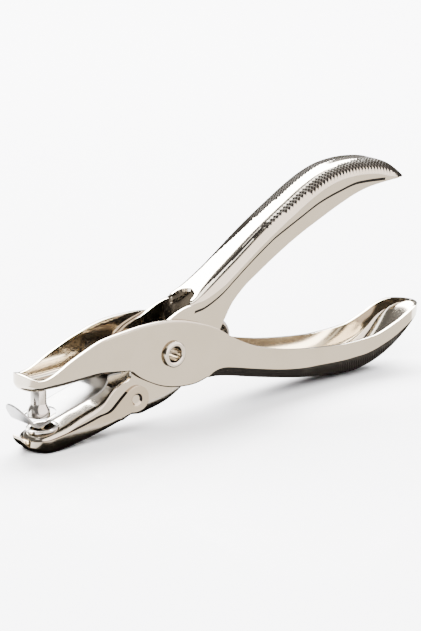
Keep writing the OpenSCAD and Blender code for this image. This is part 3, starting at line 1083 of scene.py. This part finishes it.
@dataclass
class InnerLever(Piece):
    """Lower jaw, inner ears and upper handle.

    Args:
        rivet_r, collar_r, barrel_r: radii of the holes for the pivot rivet and the die's collar and barrel.
    """

    rivet_r: float = 2.72
    collar_r: float = 4.55
    barrel_r: float = 4.05

    def channel(self) -> Channel:
        """The lever's shape. Returns: the channel."""
        width = Line((-46, 5.5), (7.7, 5.5), (9, 6.0), (12, 6.15), (20, 6.3), (90, 6.3))
        rim = Line(
            (-45.6, -18.8), (-38.5, -18.9), (-32, -18.1), (-25, -16.9), (-18.5, -15.3), (-14.8, -14.9), (-11, -15.3),
            (-7.5, -14.7), (-4, -14), (-0.5, -12.8), (3.8, -10.5), (6.5, -8.8), (9.5, -5.6), (13, -1.6), (16.5, 2.6),
            (18.8, 6.1), (21, 9.6), (25, 13.6), (31.5, 17.9), (39, 22.3), (46.5, 26.2), (54, 29.5), (61.5, 32.6),
            (69, 35.2), (77, 36.6), (84, 37), (89.8, 36),
        )
        wall = Line(
            (-19.5, -6.9), (-17.1, -5.6), (-13.9, -4.3), (-13.2, -1), (-12, 2.8), (-9, 6.1), (-5, 8), (-1, 9.4),
            (3.2, 11.3), (6, 12.1), (7.9, 12.3),
        )
        web = Line(
            (-45.6, -15.7), (-43, -15.35), (-40, -15), (-36, -14.2), (-31, -12.4), (-26, -10.9), (-23.3, -9.8),
            (-21.2, -7.9), (-19.5, -6.5), (7.9, 13.2), (11.6, 15.4), (16.2, 18.4), (21.5, 21.9), (32.5, 29.4),
            (43.6, 36.1), (51, 40.2), (56, 42.4), (60, 43.6), (64, 44.2), (68, 44.4), (73, 44.1), (78, 43.2),
            (83, 41.3), (87, 39), (89.8, 37),
        )
        return Channel(
            Plan(-45.57, 5.5, 89.8, 8.5, width, 18),
            rim, wall, web, Web.ABOVE,
            Line((-45.6, 2.2), (-26, 1.8), (-19.5, 0.9), (7.9, 1.4), (11.6, 3.0), (16, 4), (20, 4.3), (90, 4.3)),
            Line(
                (-45.6, 1.9), (-26, 1.5), (-19.5, 0.7), (7.9, 0.9), (11.6, 2.5), (16, 3.8), (20, 4.4), (80, 4.4),
                (86, 2.6), (89.8, 0.8),
            ),
            Line(
                (-45, -17), (6, 11.5), (9, 11.4), (13.4, 13.3), (17, 15.5), (24.2, 19.7), (31.5, 23.7), (38.9, 27.4),
                (46.3, 30.8), (53.9, 34.2), (61.5, 36.4), (69.2, 37.8), (76.2, 37.6), (89, 36.4),
            ),
            ((-46, -19.5), (7.9, 91)),
            Line((-46, 0), (7.7, 0), (9, 0.4), (72, 0.4), (79, 0.1), (84, 0)),
            0.9,
            (6, 5, 26, 10),
            0.65,
        )

    def build(self) -> bpy.types.Object:
        """Builds the lever. Returns: its object."""
        shape = self.channel()
        places = stops(
            (-40.07, -19.5, 0.8), (-19.5, -14.2, 0.8), (-14.2, -12.8, 0.12), (-12.8, 7.9, 0.7), (7.9, 30, 0.5),
            (30, 81.3, grip_gap()),
        )
        near = Band(
            Line((12, 3.9), (14, 3.6), (34, 3.75), (46, 4.1), (56, 4.0), (66, 3.5), (74, 2.2), (80, 0.4), (90, 0)),
            Line((12, 4.1), (14, 4.15), (34, 4.7), (46, 5.5), (56, 5.95), (66, 6.1), (90, 6.15)),
        )
        far = Band(Line((12, 4.2), (20, 3.2), (28, 1.8), (36, 0.9), (46, 0.3), (60, 0), (90, 0)), flat(7))
        sheet = shape.sheet(places, Knurl(THUMB.pitch, 12, 34, 91, near, far))
        made = sheet.build(self.node, 0.28)
        die = upright_at(DIE_X, 0, DIE_Z, DIE_TILT)
        bores = rod(self.collar_r, -0.95, 5, die), rod(self.barrel_r, -3, 3, die)
        cut(made, bore(self.rivet_r), *bores, self.mouth())
        sheet.dress(made, NICKEL, THUMB)

        def inside_mouth(place: Vector, normal: Vector) -> bool:
            """Tests one face. Args: place: its middle in mm. normal: its normal. Returns: the answer."""
            x, y, z = place
            front, back, half, below = 6, 32, 5.9, 0.5
            inner = front < x < back and abs(y) < half and shape.rim(x) < z < shape.web(x) - below
            return inner and normal.y * y < 0 and normal.z >= 0

        touch_up(made, SHADE, inside_mouth)
        return self.publish(shaded(made))

    def mouth(self) -> bpy.types.Object:
        """Cutter of the round mouth where the handle's crown starts. Returns: its object."""
        curve = [(8.3, 4.05), (9.4, 3.85), (10.2, 3.3), (10.75, 2.6), (11.3, 1.2), (11.6, 0)]
        front, half, low, high = -2, 4.1, 11.5, 30
        outline = [(x, -y) for x, y in curve] + curve[-2::-1] + [(front, half), (front, -half)]
        return prism("cutter", outline, low, high)


@dataclass
class PivotRivet(Piece):
    """Tubular rivet with rolled heads. Args: bore, shank, head: radii. seat: start of a head. roll: its height."""

    bore: float = 2.2
    shank: float = 2.65
    head: float = 3.72
    seat: float = 6.72
    roll: float = 1.19

    def build(self) -> bpy.types.Object:
        """Builds the rivet. Returns: its object."""
        middle = (self.head + self.bore) / 2
        lobe = (self.head - self.bore) / 2
        base = self.seat + self.roll * 0.55
        top = [(middle + lobe * math.cos(a), base + self.roll * 0.45 * math.sin(a)) for a in turn(math.pi, 12)]
        foot = [(self.shank, self.seat), (self.head - 0.6, self.seat), (self.head - 0.5, base - 0.3)]
        half = [*foot, *top, (self.bore, base - 1.6)]
        profile = [(r, h) for r, h in half] + [(r, -h) for r, h in reversed(half)]
        made = lathe(self.node, profile, across_at(0, 0), 96)
        return self.publish(shaded(made, 50), RIVET)


@dataclass
class TorsionSpring(Piece):
    """Torsion spring in the crotch.

    Args:
        wire, coil: radii.
        width: over the coil.
        turns: count.
        x, z: its axis.
        up, down: each leg's direction in degrees and its length.
        sides: of the wire's section.
    """

    bends: ClassVar[bool] = True
    wire: float = 0.6
    coil: float = 5.15
    width: float = 7.4
    turns: int = 5
    x: float = 17.3
    z: float = 0.5
    up: Pair = (81.0, 12.5)
    down: Pair = (-28.0, 15.8)
    sides: int = 14

    def path(self) -> list[Vector]:
        """Middle line of the wire. Returns: its points in mm."""
        start, stop = self.down[0] + 270, self.up[0] + 90
        sweep = 360 * self.turns + start - stop
        spacing, parts = 7.5, 6
        steps = int(sweep / spacing)
        coil = []
        for i in range(steps + 1):
            a = math.radians(start - sweep * i / steps)
            y = self.width * (0.5 - i / steps)
            coil.append(Vector((self.x + self.coil * math.cos(a), y, self.z + self.coil * math.sin(a))))

        def leg(foot: Vector, angle: float, length: float) -> list[Vector]:
            """A straight leg. Args: foot: where it starts. angle: in degrees. length: in mm. Returns: points."""
            a = math.radians(angle)
            along = Vector((math.cos(a), 0, math.sin(a))) * length
            return [foot + along * (k / parts) for k in range(1, parts + 1)]

        return leg(coil[0], *self.down)[::-1] + coil + leg(coil[-1], *self.up)

    def build(self) -> bpy.types.Object:
        """Builds the spring, which sits between the two frames and is attached to neither. Returns: its object."""
        path, sides = self.path(), self.sides
        rings: list[Point] = []
        for i, p in enumerate(path):
            along = (path[min(i + 1, len(path) - 1)] - path[max(i - 1, 0)]).normalized()
            side = along.cross(Vector((0, 1, 0)).cross(along)).normalized()
            other = along.cross(side)
            for a in turn(2 * math.pi, sides)[:-1]:
                rings.append(tuple(p + self.wire * (math.cos(a) * side + math.sin(a) * other)))
        faces = [
            [i * sides + k, i * sides + (k + 1) % sides, (i + 1) * sides + (k + 1) % sides, (i + 1) * sides + k]
            for i in range(len(path) - 1)
            for k in range(sides)
        ]
        faces += [list(range(sides)), [(len(path) - 1) * sides + k for k in range(sides - 1, -1, -1)]]
        made = tidy_normals(solid_object(self.node, np.array(rings), faces))
        shaded(bevelled(made, 0.12, 60))
        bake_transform(made)
        return self.publish(made, WIRE)


@dataclass
class PunchPin(Piece):
    """Punch pin. Args: tip: depth of the cutting edge. land, neck, spigot, head: radii."""

    tip: float = -11.1
    land: float = 3.15
    neck: float = 2.2
    spigot: float = 1.8
    head: float = 3.1

    def build(self) -> bpy.types.Object:
        """Builds the pin. Returns: its object."""
        low = self.tip
        profile = [
            (0, low + 0.35), (self.land - 0.25, low), (self.land, low + 0.05), (self.land, low + 1.35),
            (self.land - 0.12, low + 1.8), (self.land - 0.5, low + 2.7), (self.neck + 0.1, low + 3.4),
            (self.neck, low + 3.9), (self.neck, -3.08), (self.spigot, -3.08), (self.spigot, -2.02),
            (self.head, -2.02), (self.head, -1.75), (self.head - 0.35, -1.3), (self.head - 0.9, -1.05), (0, -1.02),
        ]
        made = bevelled(lathe(self.node, profile, upright_at(PIN_X), 96), 0.07)
        return self.publish(shaded(made), TOOL)


@dataclass
class DieBush(Piece):
    """Die bush. Args: hole, collar, barrel: radii."""

    hole: float = 3.3
    collar: float = 4.5
    barrel: float = 4.0

    def build(self) -> bpy.types.Object:
        """Builds the die. Returns: its object."""
        profile = [
            (self.hole, 0), (self.collar, 0), (self.collar, -0.9), (self.barrel, -0.9), (self.barrel, -2.5),
            (self.hole, -2.5),
        ]
        made = bevelled(lathe(self.node, profile, upright_at(DIE_X, 0, DIE_Z, DIE_TILT), 96), 0.1)
        return self.publish(shaded(made), TOOL)


@dataclass
class Stripper(Piece):
    """Leaf stripper.

    Args:
        half, tab: half widths.
        hole, tab_r: radii of the holes for the pin and the rivets.
        front: x of the wing's edge.
        wing_len: length of the wing's rounding.
        neck, neck_len: where the leaf narrows to the tab, and over what length.
        thick: of the sheet.
        columns: grid cells across.
    """

    half: float = 5.7
    tab: float = 4.0
    hole: float = 4.7
    tab_r: float = 0.92
    front: float = -50.4
    wing_len: float = 5.2
    neck: float = -22.4
    neck_len: float = 1.8
    thick: float = 0.5
    columns: int = 24

    def width(self, x: float) -> float:
        """Half width of the leaf. Args: x: the place. Returns: the half width."""
        hub = self.front + self.wing_len
        if x < hub:
            return self.half * math.sqrt(max(1 - ((hub - x) / self.wing_len) ** 2, 0))
        t = min(max((x - self.neck) / self.neck_len, 0), 1)
        return self.half + (self.tab - self.half) * t * t * (3 - 2 * t)

    def path(self) -> list[Pair]:
        """Middle line from the tab to the wing. Returns: x and z of its points."""
        keys = [
            (-15.9, -2.78), (-20.2, -2.95), (-21.8, -3.5), (-22.8, -4.7), (-23.9, -5.9), (-25.6, -6.7),
            (-44.6, -12), (-45.6, -12.12), (-46.4, -11.3), (self.front, -5.95),
        ]
        gap, passes = 0.35, 3
        out: list[Pair] = []
        for (ax, az), (bx, bz) in zip(keys, keys[1:]):
            count = max(2, int(math.hypot(bx - ax, bz - az) / gap))
            out += [(ax + (bx - ax) * k / count, az + (bz - az) * k / count) for k in range(count)]
        line = np.array(out + [keys[-1]])
        for _ in range(passes):
            line[1:-1] = (line[:-2] + 2 * line[1:-1] + line[2:]) / 4
        return [(float(x), float(z)) for x, z in line]

    def build(self) -> bpy.types.Object:
        """Builds the leaf. Returns: its object."""
        path, count = self.path(), self.columns
        grid = []
        for i, (x, z) in enumerate(path):
            ax, az = path[max(i - 1, 0)]
            bx, bz = path[min(i + 1, len(path) - 1)]
            size = math.hypot(bx - ax, bz - az)
            nx, nz = (az - bz) / size, (bx - ax) / size
            if nz < 0 or (abs(nz) < 0.1 and nx > 0):
                nx, nz = -nx, -nz
            w = max(self.width(x), 0.02)
            px, pz = x + nx * self.thick / 2, z + nz * self.thick / 2
            grid.append([(px, w * (2 * k / count - 1), pz) for k in range(count + 1)])
        made = Sheet.plain(grid, self.thick, Web.BELOW).build(self.node, 0.0)
        holes = [rod(self.tab_r, -8, 2, upright_at(TAB_X, y)) for y in (TAB_Y, -TAB_Y)]
        cut(made, rod(self.hole, -20, 0, upright_at(PIN_X)), *holes)
        return self.publish(shaded(bevelled(made, 0.1, 50), 35), SATIN)


@dataclass
class StripperRivets(Piece):
    """The two small rivets of the tab. Args: low, high: under the heads. shank, head: radii. rise: of a head."""

    low: float = -3.21
    high: float = -1.32
    shank: float = 0.8
    head: float = 1.4
    rise: float = 0.5

    def build(self) -> bpy.types.Object:
        """Builds both rivets as one object. Returns: the object."""
        dome = [(self.head * math.cos(a), self.rise * math.sin(a)) for a in turn(math.pi / 2, 5)[:-1]]
        profile = [(0, self.low - self.rise)] + [(r, self.low - h) for r, h in reversed(dome)]
        profile += [(self.shank, self.low), (self.shank, self.high)]
        profile += [(r, self.high + h) for r, h in dome] + [(0, self.high + self.rise)]
        pair = [lathe(self.node, profile, upright_at(TAB_X, y), 40) for y in (-TAB_Y, TAB_Y)]
        return self.publish(shaded(joined(*pair)), RIVET)


@dataclass
class ChipPan(Piece):
    """Chip pan that swings down.

    Args:
        vent, dimple, ear: radii.
        vents: x and y of the vents.
        lip, half: half widths of the finger lip and the pan.
        thick: of the sheet.
    """

    vent: float = 1.4
    dimple: float = 1.7
    lip: float = 2.3
    half: float = 6.15
    thick: float = 0.55
    ear: float = 4.0
    vents: tuple[Pair, ...] = ((-35, 2.4), (-35, -2.4), (-30, 0), (-25, 2.4), (-25, -2.4), (-20, 0))

    def channel(self) -> Channel:
        """The pan's shape. Returns: the channel."""
        hx, hz = PAN_HINGE
        reach = self.ear - 0.02

        def round_end(count: int, sense: int) -> list[Pair]:
            """Edge of the ears. Args: count: steps. sense: 1 above the hinge, -1 below. Returns: x and z."""
            turns = [math.pi * (0.62 - 0.62 * k / count) for k in range(count + 1)]
            return [(hx + reach * math.cos(a), hz + sense * reach * math.sin(a)) for a in turns]

        top = Line(
            (-47, -16.9), (-42, -16.5), (-35.5, -15.6), (-28.5, -14.2), (-25, -13.3), (-20.6, -12.3), (-18.4, -10.5),
            (-16.2, -8.7), (-15, -7.8), *round_end(12, 1),
        )
        low = Line(
            (-47, -19.3), (-42, -20.25), (-38, -20.1), (-32, -19.2), (-25, -17.9), (-18.5, -16.3), *round_end(10, -1),
        )
        return Channel(
            Plan(-46.22, 6.15, hx + reach, 0.02, flat(self.half), 18),
            top, low, low, Web.BELOW,
            Line((-47, 1.3), (-19, 1.2), (-17.6, 0.7)),
            Line((-47, 1.1), (-19, 1.0), (-17.6, 0.5)),
            Line((-47, -17.6), (-42, -17.4), (-28, -15), (-18, -11.5), (-12.3, -10.9)),
            ((-47, -17.6),),
            flat(0),
            self.thick,
            (4, 4, 6, 10),
        )

    def build(self) -> bpy.types.Object:
        """Builds the pan. Returns: its object."""
        shape = self.channel()
        hx, hz = PAN_HINGE
        tip = hx + self.ear
        places = stops((-40.07, -17.6, 0.7), (-17.6, tip - 1.2, 0.35), (tip - 1.2, tip - 0.05, 0.12))
        made = shape.sheet(places).build(self.node, 0.12)
        cut(made, *(rod(self.vent, -25, -13, upright_at(x, y)) for x, y in self.vents))
        cut(made, bore(self.dimple + 0.1, hx, hz))
        joined(made, self.tongue(), self.cup(-1), self.cup(1))
        self.publish(shaded(made), PAN)

        def in_dimple(place: Vector, normal: Vector) -> bool:
            """Tests one face. Args: place: its middle in mm. normal: its normal. Returns: the answer."""
            x, y, z = place.x - hx, place.y, place.z - hz
            crescent, skin = 0.7, 0.1
            return math.hypot(x, z) < self.dimple and x + z > crescent and abs(y) < self.half - skin

        # Painted shade on one crescent inside each pressed dimple.
        touch_up(made, PAINTED_SHADE, in_dimple)
        # Painted shadow along the pan's top rim, in the gap beside the lever.
        touch_up(made, PAINTED_SHADE, along_rim(shape.rim, (-45, -15.5), 1, 0.3))
        return made

    def cup(self, side: int) -> bpy.types.Object:
        """One pressed dimple. Args: side: -1 near, 1 far. Returns: its object."""
        r, top = self.dimple, self.half
        outer = [(r + 0.35, top + 0.01), (r + 0.1, top - 0.06), (r - 0.15, top - 0.25), (r - 0.55, top - 0.75)]
        inner = [(r - 0.95, top - 1.35), (r - 0.2, top - 0.62), (r + 0.35, top - 0.3)]
        place = across_at(*PAN_HINGE) @ Matrix.Rotation(0 if side < 0 else math.pi, 4, "X")
        return lathe("cup", [*outer, (0.0, top - 1.0), (0.0, top - 1.35), *inner], place, 48)

    def tongue(self) -> bpy.types.Object:
        """The finger lip at the front. Returns: its object."""
        line = [(-45.4, -19.0), (-46.4, -18.6), (-47.3, -17.8), (-48.1, -16.7), (-48.65, -15.3)]
        grid = []
        for i, (x, z) in enumerate(line):
            w = self.lip * (1 if i < len(line) - 1 else 0.82)
            grid.append([(x, w * (2 * k / 8 - 1), z) for k in range(9)])
        return bevelled(Sheet.plain(grid, 0.45, Web.ABOVE).build("lip", 0.0), 0.12, 50)


@dataclass(frozen=True)
class Card:
    """A card or lamp of the studio.

    Args:
        name: its name.
        place: middle in metres.
        aim: the point it faces.
        size: width and height in metres.
        power: watts of a lamp, or 0 for a card.
        colour: colour of the card.
        glossy: whether the pieces mirror it.
    """

    name: str
    place: Point
    aim: Point
    size: Pair
    power: float = 0.0
    colour: Colour = (1, 1, 1)
    glossy: bool = True

    def lamp(self) -> bpy.types.Light:
        """Makes the lamp. Returns: its data."""
        made = bpy.data.lights.new(self.name, "AREA")
        made.shape = "RECTANGLE"
        made.size, made.size_y = self.size
        made.energy = self.power
        made.color = self.colour
        return made

    def build(self) -> None:
        """Sets up the card or lamp."""
        w, h = self.size
        made = placed(self.name, self.lamp() if self.power else rectangle(self.name, w / 2, h / 2))
        facing = (Vector(self.aim) - Vector(self.place)).to_track_quat("-Z", "Y")
        made.matrix_world = Matrix.Translation(self.place) @ facing.to_matrix().to_4x4()
        made.visible_camera = False
        made.visible_glossy = self.glossy
        if not self.power:
            coat(made, CardFinish(self.name, self.colour))
            made.visible_shadow = False
            made.visible_diffuse = False


@dataclass(frozen=True)
class Studio:
    """Floor, light and camera.

    Args:
        floor_z: height of the floor in metres.
        reach: half size of the floor.
        eye: place of the camera.
        back, right: the camera's axes away from the object and to the right.
        lens: focal length in mm.
        cards: the cards and lamps.
    """

    floor_z: float = -0.02034
    reach: float = 6.0
    eye: Point = (-0.44315, -0.5642, 0.2193)
    back: Point = (-0.6079, -0.7427, 0.2807)
    right: Point = (0.7738, -0.6334, 0)
    lens: float = 154.04
    cards: tuple[Card, ...] = (
        Card("back_softbox", (0.5, 0.7, 0.9), (0, 0, 0), (1.4, 0.85), 205.0),
        Card("front_fill", (-0.5, -0.6, 1.1), (0, 0, 0), (1.6, 1.4), 75.0, glossy=False),
        Card("front_floor", (0.2, -0.187, -0.0202), (0.2, -0.187, 1), (0.6, 0.338), 0, (3.0, 2.76, 2.5)),
        Card("zenith_card", (0.0, 0.0, 1.0), (0, 0, 0), (1.6, 0.42), 0, (9, 9, 9)),
        Card("zenith_strip", (0.0, -0.28, 0.93), (0, 0, 0), (1.6, 0.12), 0, FLAG_BLACK),
        Card("front_card", (0.3, -0.82, 0.55), (0, 0, 0), (2.6, 1.35), 0, (5.6, 5.1, 4.95)),
        # Painted shade: a black sheet just over the floor under the pieces, seen only in their reflections, standing
        # for the shaded floor there.
        Card("under_flag", (0.025, -0.002, -0.02025), (0.025, -0.002, 1), (0.15, 0.028), 0, FLAG_BLACK),
    )

    def floor(self) -> None:
        """Lays the pale floor with its faint mirror image."""
        made = coat(placed("floor", rectangle("floor", self.reach, self.reach)), ACRYLIC)
        made.location.z = self.floor_z

    def world(self) -> None:
        """Wraps the scene in a pale surround."""
        world = bpy.data.worlds.new("pale_surround")
        world.use_nodes = True
        graph = Graph(world.node_tree)
        inputs: Inputs = {"Color": (0.95, 0.93, 0.92), "Strength": 0.32}
        graph.close(graph.term("ShaderNodeBackground", "Background", {}, inputs), "World")
        bpy.context.scene.world = world

    def camera(self) -> None:
        """Puts the camera at the photo's viewpoint."""
        lens = bpy.data.cameras.new("photo_view")
        lens.lens = self.lens
        lens.sensor_width = 36.0
        lens.clip_start = 0.01
        lens.clip_end = 30.0
        made = placed("photo_view", lens)
        back, right = Vector(self.back).normalized(), Vector(self.right).normalized()
        axes = Matrix((right, back.cross(right), back)).transposed().to_4x4()
        made.matrix_world = Matrix.Translation(self.eye) @ axes
        bpy.context.scene.camera = made

    def build(self) -> None:
        """Sets up the whole studio."""
        self.floor()
        self.world()
        self.camera()
        for card in self.cards:
            card.build()


def main() -> None:
    """Builds every piece and the studio."""
    logging.basicConfig(level=logging.INFO, format="%(name)s: %(message)s")
    pieces: list[Piece] = [
        OuterLever("outer_lever", Body.LOWER, Slot.LEVER),
        InnerLever("inner_lever", Body.UPPER, Slot.LEVER),
        PivotRivet("pivot_rivet", Body.LOWER, Slot.RIVET),
        TorsionSpring("torsion_spring", Body.LOWER, Slot.SPRING),
        PunchPin("punch_pin", Body.LOWER, Slot.TOOL),
        DieBush("die_bush", Body.UPPER, Slot.TOOL),
        Stripper("stripper", Body.LEAF, Slot.LEAF),
        StripperRivets("stripper_rivets", Body.LOWER, Slot.RIVET),
        ChipPan("chip_pan", Body.PAN, Slot.PAN),
    ]
    for piece in pieces:
        piece.build()
    Studio().build()
    bpy.context.view_layer.update()


if __name__ == "__main__":
    main()
